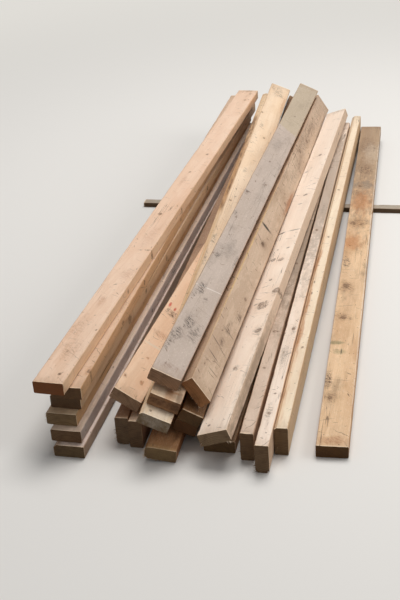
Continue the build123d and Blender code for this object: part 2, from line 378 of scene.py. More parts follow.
class Wood(Nodes):
    """The wood of one board as it builds up, from its own place on the board."""

    def __init__(self, name, lie, half, look):
        self.material = bpy.data.materials.new(name)
        self.material.use_nodes = True
        super().__init__(self.material.node_tree)
        self.tree.nodes.clear()
        look = {**USUAL, "blush": look["late"], "planed_tone": look["late"], **look}
        self.look, self.half, self.seed = look, half, look["seed"]
        where, turn = self.add("ShaderNodeTexCoord").outputs, lie.to_euler()
        self.place = self.add("ShaderNodeMapping", {"Vector": where["Object"], "Location": lie.translation,
                                                    "Rotation": turn}, vector_type="TEXTURE").outputs[0]
        self.facing = self.apart(self.add("ShaderNodeMapping", {"Vector": where["Normal"], "Rotation": turn},
                                          vector_type="TEXTURE").outputs[0])
        self.on_end = self.faces("Y")
        self.on_side = self.faces("Z" if look["edgewise"] else "X")
        self.off_end = self.less(1.0, self.on_end)
        self.x, self.y, self.z = self.apart(self.place)

    def faces(self, axis):
        return self.step(self.size_of(self.facing[axis]), FACING_FROM, FACING_FULLY)

    def from_middle(self, along):
        """Metres from the board's middle for millimetres from its near end."""
        return along * MM - self.half.y

    def spot(self, along, across, above):
        return Vector((across * MM, self.from_middle(along), above * MM))

    def noise(self, name, seed_step):
        return self.cloud(name, self.place, self.seed + seed_step)

    def lay(self, mask, amount, code, blend="MIX"):
        """Lays a tone over the wood where the mask shows."""
        self.colour = self.mix(self.times(mask, amount), self.colour, tone(code), blend)

    def lay_on_faces(self, mask, amount, code):
        """The same, but not on the sawn ends."""
        self.lay(self.times(mask, self.off_end), amount, code)

    def grow(self):
        """The knots and the yearly rings that bend round them, and the growing wood's tones."""
        look, seed = self.look, self.seed
        knots = []
        for i, (along, across, above, size, *stretch) in enumerate(look["knots"]):
            wide, long = size * MM, size * (stretch[0] if stretch else USUAL_STRETCH) * MM
            in_narrow_face = abs(above) < self.half.z / MM - 2
            sizes = (KNOT_LENGTH_ACROSS, long, wide) if in_narrow_face else (wide, long, KNOT_LENGTH_DOWN)
            middle = self.spot(along, across, above)
            knots.append(self.group(KNOT, Place=self.place, Middle=middle, Size=sizes, Seed=seed + i * 3.7))
        self.hearts = reduce(self.highest, [knot["Heart"] for knot in knots])
        self.rims = reduce(self.highest, [knot["Rim"] for knot in knots])
        self.bend = reduce(self.plus, [knot["Bend"] for knot in knots])
        pith_across, pith_above, lean, ring_width = look["rings"]
        self.growth = self.group(
            GROWTH, Place=self.place, Pith=(pith_across * MM, 0.0, pith_above * MM), Seed=seed,
            Lean=(lean, 0.0, lean * 0.6), Ring_Width=ring_width * MM, Wander=RING_WANDER, Bend=self.bend)
        growth = self.growth
        grain = self.plus(self.times(growth["Late"], look["late_share"]), self.times(growth["Tone"], 0.1))
        grain = self.plus(grain, self.times(self.less(growth["Fibre"], 0.5), 0.4))
        grain = self.plus(grain, self.times(self.less(growth["Broad"], 0.5), 1.1), clamp=True)
        self.colour = self.mix(grain, tone(look["pale"]), tone(look["late"]))

    def weather(self):
        """Blushes, planer patches, a part that has greyed less, the nap, and tints on the sides and the tops,
        partly the wood's own tone and partly painted light and shade.
        """
        look = self.look
        self.lay(self.step(self.noise("blushes", 40.0), 0.42, 0.7), look["blush_share"], look["blush"])
        planed = self.step(self.noise("planer patches", 60.0), 0.5, 0.53)
        self.lay(planed, look["planed"], look["planed_tone"])
        if "far_part" in look:
            start, far_tone = look["far_part"]
            start = self.from_middle(start)
            slanting = self.plus(self.y, self.times(self.x, 0.7))
            slanting = self.plus(slanting, self.times(self.noise("weathered border", 80.0), 0.02))
            beyond = self.step(slanting, start, start + 0.012, most=0.85)
            self.colour = self.mix(beyond, self.colour, tone(far_tone))
        nap = self.noise("nap", 70.0)
        self.colour = self.mix(self.step(nap, 0.52, 0.74, most=0.3), self.colour, tone(look["late"]))
        self.colour = self.mix(self.step(nap, 0.48, 0.28, most=0.3), self.colour, tone(RAISED_NAP))
        # The side and top tints make the narrow and the wide faces darker against each other: partly the
        # wood's own tone, partly painted light and shade on those faces.
        self.lay(self.on_side, 1.0, look["side"], "MULTIPLY")
        if "top" in look:
            self.lay(self.less(1.0, self.on_side), 1.0, look["top"], "MULTIPLY")

    def show_ends(self):
        """The soiled ends with their light rim, partly painted highlight, and the rings that run on over the
        sawn ends, in end tones that are partly painted shade.
        """
        look = self.look
        self.wear = self.group(WEAR, Place=self.place, Half_Size=self.half, Seed=self.seed + 11.0)
        self.lay(self.wear["Ends"], 0.25, HANDLED_END)
        # A light band round each end: partly light sawn fibres, partly painted highlight on the end arrises.
        self.lay(self.wear["Rim"], 0.6, SAWN_RIM_AND_HIGHLIGHT)
        # The end tones are much darker than the faces: partly the end grain's own darker tone, partly painted
        # shade on the ends.
        end_grain = self.mix(self.growth["Late"], tone(look["end"]), tone(look["end_late"]))
        soil = self.step(self.noise("end soil", 31.0), 0.4, 0.75)
        end_grain = self.mix(self.times(soil, 0.5), end_grain, tone(END_SOIL))
        self.colour = self.mix(self.on_end, self.colour, end_grain)

    def stain(self):
        # Lays the stains, and with them the painted shade of the kind shade and the painted highlight strips
        # of the kind straw.
        for i, (along, across, above, reach, width, kind, strength, *turn) in enumerate(self.look["stains"]):
            stain = self.group(
                STAIN_OR_PAINTED_LIGHT, Place=self.place, Middle=self.spot(along, across, above),
                Reach=(width * MM, reach * MM, width * MM), Raggedness=RAGGED.get(kind, USUAL_RAGGEDNESS),
                Scribble=SCRIBBLE.get(kind, 0.0), Turn=-radians(turn[0] if turn else 0),
                Seed=self.seed + i * 1.9 + 0.3)
            self.lay(stain["Mask"], strength, STAIN_AND_PAINTED_LIGHT_TONES[kind])

    def leave_bark(self):
        """Inner bark on the round corner, with flakes of the outer bark still on it."""
        if "bark" not in self.look:
            return
        corner_x, corner_z, amount, start, stop = self.look["bark"]
        start, stop, fade = self.from_middle(start), self.from_middle(stop), 0.05
        along = self.times(self.step(self.y, start - fade, start + fade),
                           self.step(self.y, stop + fade, stop - fade))
        from_corner = self.plus(self.size_of(self.less(self.x, corner_x * self.half.x)),
                                self.size_of(self.less(self.z, corner_z * self.half.z)))
        torn = self.times(self.less(self.noise("bark border", 21.0), 0.5), 0.03)
        strip = self.times(self.step(self.plus(from_corner, torn), 0.019, 0.012), along)
        flakes = self.step(self.noise("bark flakes", 22.0), 0.47, 0.6)
        self.lay(strip, self.look["bark_share"], self.look["inner_bark"])
        self.lay(self.times(strip, flakes), amount, self.look["flakes"])

    def darken_knots(self):
        look = self.look
        self.colour = self.mix(self.times(self.bend, 26.0, clamp=True), self.colour, tone(look["late"]))
        self.lay(self.hearts, 0.74, look["heart"])
        self.lay(self.rims, look["rim_share"], look["rim"])

    def mark(self):
        """Saw marks, scuffs, bruised edges, dirt, ticks, scratches and cracks."""
        look, wear = self.look, self.wear
        self.saw = self.group(SAW, Place=self.place, Pitch=look["pitch"] * MM, Slant=look["slant"],
                              Seed=self.seed + 5.0)
        sideways = self.math("GREATER_THAN", self.size_of(self.facing["X"]), 0.7)
        across = self.plus(self.times(self.plus(self.z, 0.5), sideways),
                           self.times(self.x, self.less(1.0, sideways)))
        flat = self.add("ShaderNodeCombineXYZ", {"X": across, "Y": self.y}).outputs[0]
        handled = self.group(HANDLING, Flat=flat, Lean=SCRATCH_LEAN, Seed=self.seed + 17.0)
        self.lay_on_faces(self.saw["Mark"], look["saw"], SAW_MARK)
        self.lay_on_faces(wear["Scuffs"], 0.22, SCUFF)
        self.lay_on_faces(wear["Edge"], 0.25, look["edge"])
        self.lay(wear["Dirt"], look["dirt"], look["dirt_tone"])
        self.lay_on_faces(handled["Ticks"], look["ticks"], TICK)
        self.lay_on_faces(handled["Scratches"], look["scratches"], SCRATCH)
        self.lay_on_faces(wear["Cracks"], look["cracks"], CRACK)

    def surface(self):
        """The relief, the dullness and the shader."""
        growth, wear = self.growth, self.wear
        height = self.plus(self.times(growth["Late"], 0.25), self.times(growth["Fibre"], 0.7))
        height = self.less(height, self.times(wear["Cracks"], 1.6))
        height = self.less(height, self.times(self.saw["Mark"], 0.5))
        height = self.plus(height, self.times(self.noise("rough skin", 50.0), 0.8))
        height = self.plus(height, self.times(self.hearts, 0.6))
        gives = {"Height": height, "Strength": 0.65, "Distance": 0.0006}
        relief = self.add("ShaderNodeBump", gives).outputs[0]
        dull = self.plus(0.62, self.times(wear["Dirt"], 0.22))
        dull = self.less(dull, self.times(growth["Late"], 0.08), clamp=True)
        gives = {"Base Color": self.colour, "Roughness": dull, "Normal": relief, "Specular IOR Level": 0.3}
        skin = self.add("ShaderNodeBsdfPrincipled", gives)
        self.add("ShaderNodeOutputMaterial", {"Surface": skin.outputs[0]})


def pine(name, lie, half, look):
    """The finished wood of one board."""
    wood = Wood(name, lie, half, look)
    for work in (wood.grow, wood.weather, wood.show_ends, wood.stain, wood.leave_bark, wood.darken_knots,
                 wood.mark, wood.surface):
        work()
    return wood.material


# ---- Boards ----

def lie_of(mesh):
    """How a board lies, read from its widest faces: a matrix with X across it, Y along it and Z through it,
    and half its width, length and thickness."""
    faces = sorted(mesh.polygons, key=lambda face: face.area, reverse=True)
    through = faces[0].normal.copy()
    across = next(face.normal.copy() for face in faces if abs(face.normal.dot(through)) < 0.2)
    along = through.cross(across).normalized()
    if max(along, key=abs) < 0:
        along.negate()
    if abs(through.z) > 0.3:
        if through.z < 0:
            through.negate()
        across = along.cross(through).normalized()
    else:
        if across.z < 0:
            across.negate()
        through = across.cross(along).normalized()
    lie = Matrix((across, along, through)).transposed().to_4x4()
    middle, half = Vector(), Vector()
    for i, axis in enumerate((across, along, through)):
        reach = [v.co.dot(axis) for v in mesh.vertices]
        middle += axis * (min(reach) + max(reach)) / 2
        half[i] = (max(reach) - min(reach)) / 2
    lie.translation = middle
    return lie, half


# Where a board is cut for its wear, in millimetres: strips along its edges and rows across it.
WIDE_FACE_STRIP, NARROW_FACE_STRIP = 7, 6
ROWS_NEAR_END = (2, 5, 9, 14, 20, 28)
ROW_SPACING = 20


def finely_cut(mesh, lie, half):
    """A board's faces cut into short rows and narrow strips, so that they can be dented."""
    work = bmesh.new()
    work.from_mesh(mesh)
    bmesh.ops.transform(work, matrix=lie.inverted(), verts=work.verts)
    bmesh.ops.remove_doubles(work, verts=work.verts, dist=0.02 * MM)
    bmesh.ops.dissolve_limit(work, angle_limit=radians(0.6), verts=work.verts, edges=work.edges)
    cuts = [(0, half.x * s - copysign(WIDE_FACE_STRIP * MM, s) * (abs(s) == 1))
            for s in (-1, -0.5, 0, 0.5, 1)]
    cuts += [(2, half.z * s - copysign(NARROW_FACE_STRIP * MM, s) * bool(s)) for s in (-1, 0, 1)]
    last = ROWS_NEAR_END[-1]
    rows = int((2 * half.y / MM - 2 * last) / ROW_SPACING)
    spacing = (2 * half.y - 2 * last * MM) / rows
    stations = [s * (half.y - d * MM) for d in ROWS_NEAR_END[:-1] for s in (-1, 1)]
    stations += [-half.y + last * MM + i * spacing for i in range(rows + 1)]
    cuts += [(1, y) for y in sorted(stations)]
    for axis, reach in cuts:
        point, normal = Vector(), Vector()
        point[axis], normal[axis] = reach, 1.0
        bmesh.ops.bisect_plane(work, geom=work.verts[:] + work.edges[:] + work.faces[:], dist=1e-7,
                               plane_co=point, plane_no=normal)
    return work


# How deep the surface is worn, in millimetres.
RUB, KNOCK, BARK, ROUGH, TORN, CHIP, LEAST_CHIP, CORNER_CHIP = 1.7, 3.5, 1.4, 0.16, 3.5, 1.6, 0.3, 0.8
# How far bruises, chips and torn corners reach, and how near a point on a face or an end is to it, in metres.
BRUISE_REACH, CHIP_REACH, TORN_REACH, ON_FACE, ON_END = 0.008, 0.009, 0.25, 0.004, 0.0002


def worn(work, half, look):
    """Moves the surface in a little: bruises along the long edges, chips at the ends and rough sawn faces."""
    seed = look["seed"]
    torn_side, torn_end = look.get("ragged_end", (0, 0))
    bark_side, bark_face = look.get("bark", (0, 0))[:2]
    for vert in work.verts:
        x, y, z = vert.co
        side = Vector((copysign(3.0, x) + seed, 0.0, copysign(5.0, z)))
        from_side, from_end, from_face = half.x - abs(x), half.y - abs(y), half.z - abs(z)
        from_edge = max(from_side, from_face)
        rub = noise.noise(side + Vector((0, y * 13, 0)))
        knock = noise.noise(side + Vector((40, y * 60, 0)))
        depth = max(0.0, rub) * RUB + max(0.0, knock - 0.25) * KNOCK
        if x * bark_side > 0 and z * bark_face > 0:
            depth += BARK * (1 + noise.noise(Vector((x * 90, y * 24, z * 90))))
        if y * torn_end > 0 and x * torn_side > 0 and from_end < TORN_REACH:
            fade = 1 - from_end / TORN_REACH
            depth += fade * (TORN + 4.0 * noise.noise(Vector((seed, y * 160, z * 120))))
        inward = max(0.0, 1 - from_edge / BRUISE_REACH) * depth * MM
        rough = ROUGH * MM * (1 + noise.noise(Vector((x * 55, y * 30, z * 55)) + side))
        if from_side < ON_FACE:
            vert.co.x -= copysign(inward + rough, x)
        if from_face < ON_FACE:
            vert.co.z -= copysign(inward + rough, z)
        if from_end < ON_END:
            chip = max(0.0, noise.noise(Vector((x * 75, seed, z * 75)))) * CHIP + LEAST_CHIP
            corner_chip = CORNER_CHIP + 1.2 * noise.noise(Vector((x * 160, z * 160, seed)))
            chip += max(0.0, 1 - from_edge / CHIP_REACH) * corner_chip
            vert.co.y -= copysign(max(0.0, chip) * MM, y)


def finished(work, name):
    """Makes the worked mesh an object of its own, with crisp corners and soft rounds."""
    bmesh.ops.recalc_face_normals(work, faces=work.faces)
    for face in work.faces:
        face.smooth = True
    for edge in work.edges:
        if len(edge.link_faces) == 2 and edge.calc_face_angle(0.0) > radians(38):
            edge.smooth = False
    mesh = bpy.data.meshes.new(name)
    work.to_mesh(mesh)
    work.free()
    piece = bpy.data.objects.new(name, mesh)
    scene.collection.objects.link(piece)
    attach(piece, "root")
    return piece


LEAST_GAP = 0.2 * MM
FIBRE_FLATTENED = (1.5, 0.6, 1.0, 1.0)


def splinters(name, lie, half, seed, bunches):
    """Torn fibres that stand out of a board's near end, kept behind the near side of the stack's own box and
    above the floor.
    """
    draw = random.Random(seed)
    work = bmesh.new()
    for across, above, spread, rise, count, longest, lean in bunches:
        for _ in range(count):
            length = longest * draw.uniform(0.4, 1.0) * MM
            thick = draw.uniform(0.35, 0.9) * MM
            made = bmesh.ops.create_cone(work, cap_ends=True, segments=5, radius1=thick, radius2=thick * 0.15,
                                         depth=length * 1.6)
            root = Vector(((across + draw.uniform(-spread, spread)) * MM, -half.y + 1.5 * MM,
                           (above + draw.uniform(-rise, rise)) * MM))
            way = Vector((lean[0] + draw.uniform(-0.3, 0.3), -1.0, lean[1] + draw.uniform(-0.3, 0.3)))
            way.normalize()
            turn = way.to_track_quat("Z", "Y").to_matrix().to_4x4()
            place = Matrix.Translation(root + way * length * 0.3) @ turn @ Matrix.Diagonal(FIBRE_FLATTENED)
            bmesh.ops.transform(work, matrix=place, verts=made["verts"])
    bmesh.ops.transform(work, matrix=lie, verts=work.verts)
    near_side = cad_box[0][1]
    for vert in work.verts:
        vert.co.y = max(vert.co.y, near_side + LEAST_GAP)
        vert.co.z = max(vert.co.z, LEAST_GAP)
    return finished(work, name)


# How each board looks, in millimetres from its near end and its middle line. Knots are (along, across,
# above, size), some with a stretch. Stains are (along, across, above, reach, width, kind, strength), some
# with a turn in degrees; those of the kind shade are painted shade, and the straw strips painted highlights.
# Rings are where the log's pith lies across and above, its lean, and the ring width. The far part is where a
# less weathered part starts, and its tone. Bark is its side and face, amount, start and stop.
# A board's end and end_late tones are partly its end grain and partly painted shade on the ends.
# A board's side and top are tints of its narrow and wide faces, partly its own tone and partly painted light
# and shade.
LOOKS = {
    "left_pile_top_board": dict(
        slot="peach_pine", pale="fde2cc", late="e0b28c", blush="e8b897", side="f8efdc", top="ece4dc",
        end="9a5f34", end_late="74401e", dirt=0.16, scratches=0.3, ticks=0.5, rings=(-30, -70, 0.02, 3.4),
        seed=6,
        knots=((47, 18, 19, 4.5), (1093, -11, 19, 6, 1.4), (812, 44, 2, 15, 0.45), (1173, 44, -4, 14, 0.4),
            (289, 37, 19, 3, 1.2), (1660, 12, 19, 5, 1.5), (1478, -8, 19, 4, 1.5), (2308, 15, 19, 5, 1.4),
            (560, 44, 0, 7, 0.8)),
        stains=((452, -4, 19, 42, 16, "rust", 0.4), (172, 4, 19, 70, 34, "brown", 0.3),
            (812, 44, 3, 14, 18, "bark", 0.6), (300, -20, 19, 80, 30, "brown", 0.25),
            (640, 16, 19, 50, 24, "rust", 0.35), (1400, -14, 19, 60, 14, "rust", 0.3),
            (2430, 0, 19, 16, 30, "brown", 0.6), (2390, 20, 19, 20, 9, "bark", 0.6),
            (47, 18, 19, 6, 5, "gash", 0.9), (54, 22, 19, 8, 3, "gash", 0.4, -30),
            (900, 10, 19, 120, 26, "rust", 0.25), (0, 0, 0, 9, 70, "rust", 0.45))),
    "left_pile_fifth_board": dict(
        slot="peach_pine", pale="f2d3b6", late="d6ab84", blush="deb490", side="efdfc6", top="e2dedc",
        end="80603f", end_late="5c422a", dirt=0.14, rings=(20, -60, -0.015, 3.1), seed=15,
        knots=((90, 40, 19, 5.0, 1.8), (1130, 44, 2, 6, 1.4), (647, 44, 4, 8, 0.8), (400, 44, -3, 6, 1.2)),
        stains=((90, 38, 19, 32, 8, "rust", 0.5),)),
    "left_pile_fourth_board": dict(
        slot="tan_pine", pale="ead0b4", late="c9a27c", blush="c6a07a", side="fdf0dc", top="e6e2de",
        end="72573c", end_late="503a26", dirt=0.2, rings=(-14, -50, 0.01, 2.9), seed=23,
        knots=((468, 44, 2, 12, 1.1), (647, 44, 5, 7.0), (1500, 44, 0, 7, 1.4), (900, 44, -2, 9, 0.6))),
    "left_pile_third_board": dict(
        slot="yellow_pine", pale="e6cba8", late="c8a27a", side="f8e4cc", end="9c8260", end_late="78603f",
        dirt=0.2, rings=(26, -56, 0.015, 3.3), seed=31, knots=((980, 44, 3, 5),)),
    "left_pile_second_board": dict(
        slot="weathered_pine", pale="fbeee6", late="ead8ce", blush="dfcabd", side="fffaf6", top="f4e8d8",
        end="86694a", end_late="64492f", dirt=0.16, rings=(-20, -64, -0.02, 3.0), seed=44,
        knots=((720, 44, -3, 5),),
        stains=((40, 46, 0, 260, 40, "umber", 0.35),)),
    "left_pile_bottom_board": dict(
        slot="weathered_pine", pale="ecdcd2", late="cdb9ab", blush="d0bdb1", side="dccab6", top="fffaf6",
        end="8a7250", end_late="665036", dirt=0.35, dirt_tone="75604c", rings=(12, -72, 0.02, 3.5), seed=52,
        bark=(-1, 1, 0.6, 0, 2438), knots=((300, 30, 19, 4),)),
    "outer_edgewise_board": dict(
        slot="tan_pine", edgewise=True, pale="ad8b70", late="8a6c55", blush="7f6049", side="f0dccb",
        end="8a7054", end_late="66503a", dirt=0.4, dirt_tone="6d584a", rings=(-60, 20, 0.01, 3.1), seed=61,
        ragged_end=(-1, -1), knots=((1134, 10, 18, 6),)),
    "inner_edgewise_board": dict(
        slot="tan_pine", edgewise=True, pale="c2a78e", late="9f8570", blush="94785f", side="f0dccb",
        end="86694c", end_late="634a33", dirt=0.4, dirt_tone="6d584a", rings=(-70, -12, 0.015, 3.2), seed=73,
        knots=((900, 44, 2, 5, 1.4),)),
    # Its face tones are darkened partly as painted shade from the boards above; the straw band at the near
    # end is a painted highlight on the front top edge.
    "splintered_floor_board": dict(
        slot="tan_pine", pale="c08e62", late="99683f", blush="a06e44", side="f2dcc4", end="86694a",
        end_late="644a32", dirt=0.32, rings=(18, -58, 0.02, 3.0), seed=84, ragged_end=(-1, -1),
        knots=((160, 10, 19, 4),),
        stains=((120, 0, 19, 84, 80, "umber", 0.6), (4, 0, 19, 16, 70, "straw", 0.3))),
    # Its dark face tones are the wood darkened with painted shade from the boards above it.
    "narrow_lower_board": dict(
        slot="tan_pine", pale="7d5a39", late="5e4026", blush="674626", side="f0d8be", end="7a5433",
        end_late="57391f", dirt=0.3, rings=(16, -44, 0.02, 2.8), seed=91, knots=((240, 5, 19, 4),)),
    "peach_slanting_board": dict(
        slot="peach_pine", pale="f5d3b3", late="dcae84", blush="e4b890", side="bfae9b", end="bf9c7e",
        end_late="97785c", heart="a86a3c", rim="8a4e26", dirt=0.12, rings=(-24, -80, 0.02, 3.6), seed=102,
        knots=((195, -6, 19, 3.5, 1.4), (80, 16, 19, 5, 2.0), (71, -36, 19, 3, 1.2), (880, 8, 19, 4, 1.4),
            (330, 24, 19, 2.5)),
        stains=((497, -33, 19, 17, 5, "crayon", 1.0), (486, -12, 19, 12, 5, "crayon", 1.0),
            (481, 6, 19, 9, 6, "crayon", 0.9), (457, -14, 19, 26, 26, "bark", 0.9),
            (445, 12, 19, 14, 12, "bark", 0.9), (330, 4, 19, 20, 44, "rust", 0.45),
            (70, -36, 19, 16, 8, "bark", 0.5), (262, 0, 19, 7, 60, "pale", 0.7))),
    "lower_middle_board": dict(
        slot="peach_pine", pale="e8cfae", late="cba47c", blush="cfa97e", side="f4dabc", end="a08663",
        end_late="7f6445", dirt=0.2, rings=(20, -48, 0.02, 3.0), seed=113, bark=(-1, 1, 0.75, 1250, 2150),
        knots=((22, -20, 19, 5, 1.2), (731, -20, 19, 5, 1.4)),
        stains=((1403, -34, 19, 52, 8, "bark", 0.75), (1562, -31, 19, 46, 7, "bark", 0.75),
            (1777, -38, 19, 60, 8, "bark", 0.7), (1962, -34, 19, 55, 8, "bark", 0.7),
            (20, 0, 19, 60, 60, "pale", 0.6), (60, 34, 19, 30, 12, "bark", 0.6))),
    # Its dark face tones are partly its own dark brown and partly painted shade from the boards above it.
    "narrow_shaded_board": dict(
        slot="tan_pine", pale="7b5838", late="5c3f25", blush="644423", side="e8ceb0", end="7a5f3e",
        end_late="5b442b", dirt=0.24, rings=(-18, -40, 0.02, 2.8), seed=127, knots=((420, 0, 19, 4),)),
    "yellow_middle_board": dict(
        slot="yellow_pine", pale="edd3b6", late="cfa67a", blush="e6c29a", side="fffaf2", end="b08360",
        end_late="8c6240", dirt=0.12, rings=(28, -66, 0.02, 3.5), seed=131,
        knots=((1836, 7, 19, 4.5, 1.4), (2081, -38, 19, 4.5, 1.4), (60, 26, 19, 5, 1.4), (1216, -30, 19, 4),
            (0, 4, 0, 9, 0.6)),
        stains=((38, 20, 19, 7, 26, "orange", 0.6, 8), (60, 6, 19, 5, 22, "brown", 0.5, -6),
            (2356, 0, 19, 70, 30, "soot", 0.55), (2392, -30, 19, 30, 12, "bark", 0.5),
            (2240, 34, 19, 120, 8, "orange", 0.4), (766, -8, 19, 60, 12, "orange", 0.3),
            (1245, 3, 19, 160, 9, "orange", 0.3), (24, 8, 19, 60, 16, "orange", 0.5),
            (30, 34, 19, 50, 10, "umber", 0.55), (1952, -19, 19, 30, 10, "soot", 0.5),
            (1493, -19, 19, 30, 9, "soot", 0.5), (900, -34, 19, 60, 9, "soot", 0.6),
            (780, -40, 19, 60, 9, "soot", 0.6), (0, 34, 0, 20, 22, "umber", 0.6))),
    "grey_top_board": dict(
        slot="grey_pine", pale="beac9e", late="a39184", late_share=0.08, blush="b09d8d", blush_share=0.5,
        side="efdccb", end="c2997a", end_late="94704f", planed_tone="a6968a", far_part=(1880, "b7a58c"),
        dirt=0.3, dirt_tone="7d7064", scratches=0.3, cracks=0.3, rings=(-18, -90, 0.015, 3.4), seed=142,
        knots=((706, -39, 19, 4), (1206, -33, 19, 4.5), (1523, -7, 19, 4.5), (1323, 17, 19, 4),
            (995, -27, 19, 3.5), (2044, 1, 19, 3.5)),
        stains=((491, 0, 19, 3.2, 110, "scored", 0.5), (1215, -30, 19, 5, 14, "gash", 0.7, -20),
            (745, 0, 19, 70, 36, "grey", 0.4), (200, -26, 19, 52, 20, "soot", 0.9),
            (276, -9, 19, 46, 18, "soot", 0.9), (140, -36, 19, 40, 12, "soot", 0.8),
            (232, 20, 19, 60, 22, "soot", 0.7), (482, -22, 19, 44, 18, "soot", 0.85),
            (440, -34, 19, 30, 10, "soot", 0.8), (423, 5, 19, 24, 10, "soot", 0.6),
            (703, -24, 19, 24, 12, "soot", 0.75), (800, 4, 19, 60, 16, "grey", 0.35),
            (1024, -36, 19, 24, 9, "soot", 0.7), (1201, -34, 19, 30, 10, "soot", 0.7),
            (1700, -10, 19, 90, 20, "grey", 0.35), (700, 40, 19, 60, 8, "soot", 0.55),
            (40, 0, 19, 20, 44, "brown", 0.35))),
    "tan_leaning_board": dict(
        slot="tan_pine", pale="cfb49a", late="aa8c73", blush="bc9d84", side="fffaf4", end="b58358",
        end_late="9c6d46", planed=0.3, dirt=0.26, scratches=0.95, ticks=0.8, saw=0.42, pitch=6.5, slant=0.8,
        rings=(14, -76, 0.015, 3.2), seed=153,
        knots=((1929, 1, 19, 7, 1.4), (1785, -12, 19, 7, 1.5), (921, -2, 19, 8), (1315, 22, 19, 5, 1.8),
            (2165, -20, 19, 5, 1.4), (558, 20, 19, 5, 1.6)),
        stains=((1034, -16, 19, 11, 36, "gash", 1.0, 5), (925, -2, 19, 17, 9, "gash", 0.95),
            # The straw strip along the left top edge is a painted highlight standing in for the lit left side
            # face.
            (935, -24, 19, 4, 24, "gash", 0.55, -28), (820, -46, 19, 760, 7, "straw", 0.8),
            (1335, 36, 19, 130, 13, "rust", 0.8), (820, 44, 19, 420, 8, "rust", 0.4),
            (441, 26, 19, 34, 12, "bark", 0.75), (350, 5, 19, 44, 16, "bark", 0.7),
            (262, 2, 19, 34, 14, "bark", 0.65), (172, -8, 19, 3.5, 32, "gash", 0.7, -8),
            (112, 14, 19, 3, 26, "gash", 0.6, 2), (238, -16, 19, 4, 30, "gash", 0.6, -12),
            (330, 8, 19, 4, 34, "gash", 0.55, -5), (1365, 34, 19, 120, 9, "rust", 0.6),
            (1900, -10, 19, 260, 30, "soot", 0.55), (2200, 0, 19, 160, 34, "soot", 0.5),
            (1600, 10, 19, 200, 26, "soot", 0.45), (921, 0, 19, 40, 20, "bark", 0.45))),
    "low_flat_board": dict(
        slot="tan_pine", pale="ccaa88", late="aa8562", side="f0dcc6", end="80633f", end_late="5e4528",
        dirt=0.34, rings=(-22, -62, 0.02, 3.1), seed=162, knots=((200, 0, 19, 4),)),
    "pale_wide_board": dict(
        slot="pale_pine", pale="fce8d4", late="e8cab0", blush="f0d8c4", side="dfd5ca", end="b09474",
        end_late="8c7252", edge="c9a684", heart="6b5242", rim_share=0.6, planed=0.1, dirt=0.16, ticks=0.4,
        rings=(24, -84, 0.02, 3.6), seed=171,
        knots=((1923, 5, 19, 7, 1.2), (1526, 7, 19, 7, 1.2), (1006, -22, 19, 8), (994, 10, 19, 8),
            (855, 0, 19, 4.5), (767, 35, 19, 12, 1.2), (683, 7, 19, 17, 1.1), (519, 27, 19, 9, 1.1),
            (319, -5, 19, 5, 1.0), (39, -17, 19, 3.5, 1.2)),
        # The shade patch on the right side near the end is painted shade.
        stains=((330, 54, 0, 440, 30, "shade", 0.6), (519, 24, 19, 40, 20, "soot", 0.6),
            (750, 34, 19, 26, 14, "soot", 0.5), (319, -2, 19, 20, 12, "soot", 0.55),
            (2440, 10, 19, 40, 26, "soot", 0.4), (1216, -29, 19, 7, 17, "gash", 0.8, 25),
            (1218, 19, 19, 5, 32, "gash", 0.65, -8), (1078, 21, 19, 6, 8, "gash", 0.6),
            (1081, -19, 19, 5, 5, "gash", 0.5), (697, -20, 19, 6, 9, "gash", 0.7, 25),
            (1450, 0, 19, 5, 12, "gash", 0.5, -10), (1768, -30, 19, 6, 12, "gash", 0.45, 20),
            (1620, 30, 19, 5, 10, "gash", 0.4))),
    "first_upright_board": dict(
        slot="weathered_pine", edgewise=True, pale="d6bda8", late="b39880", blush="b0947f", side="f4e8dc",
        end="8e7050", end_late="6a4f34", dirt=0.36, dirt_tone="78644f", rings=(-54, 18, 0.02, 3.1), seed=184,
        knots=((330, 44, 3, 4), (1000, 44, -4, 5, 1.4), (540, 44, 0, 10, 0.6), (1500, 44, 2, 5, 1.5)),
        # The two shade patches along the top edge are painted shade.
        stains=((1120, 44, 0, 620, 80, "shade", 0.75), (1750, 44, 0, 200, 60, "shade", 0.4))),
    "second_upright_board": dict(
        slot="pale_pine", edgewise=True, pale="f3dfcd", late="dcc0a6", blush="e2c8b0", side="f4e4d2",
        end="927658", end_late="6e543a", edge="c9a684", dirt=0.18, rings=(-66, -14, 0.02, 3.4), seed=193,
        ragged_end=(-1, -1),
        knots=((250, 44, 0, 3.5, 1.2), (610, 44, -6, 4.5, 1.6), (1320, 44, 2, 5, 1.4), (60, 44, -4, 2.6, 1.2),
            (470, 44, 6, 3.5, 1.5), (150, 44, 2, 4, 1.6)),
        # The broad shade patch over the far part is painted shade.
        stains=((1700, 44, 0, 900, 200, "shade", 0.6), (610, 44, -8, 40, 9, "soot", 0.6),
            (1500, 44, 0, 60, 8, "grey", 0.35), (440, 44, 2, 90, 14, "grey", 0.5),
            (160, 44, 4, 60, 12, "soot", 0.5))),
    "third_upright_board": dict(
        slot="pale_pine", edgewise=True, pale="f0dcc0", late="dbb898", blush="dcc09c", side="eadbc6",
        end="8e7454", end_late="6a5236", dirt=0.2, rings=(-62, 16, 0.02, 3.3), seed=205,
        bark=(1, 1, 0.5, 40, 1250), bark_share=0.35, inner_bark="e0b284", flakes="a8632f",
        knots=((420, 44, -6, 3.5), (1600, 44, 0, 5), (1180, 44, -4, 4, 1.5)),
        stains=((836, 44, 6, 12, 4, "gash", 0.7), (759, 44, 6, 11, 4, "gash", 0.7),
            (672, 44, 12, 14, 4, "gash", 0.8), (1074, 44, 12, 40, 4, "gash", 0.6),
            (1004, 44, 13, 34, 5, "gash", 0.6), (520, 44, 11, 8, 3, "gash", 0.6),
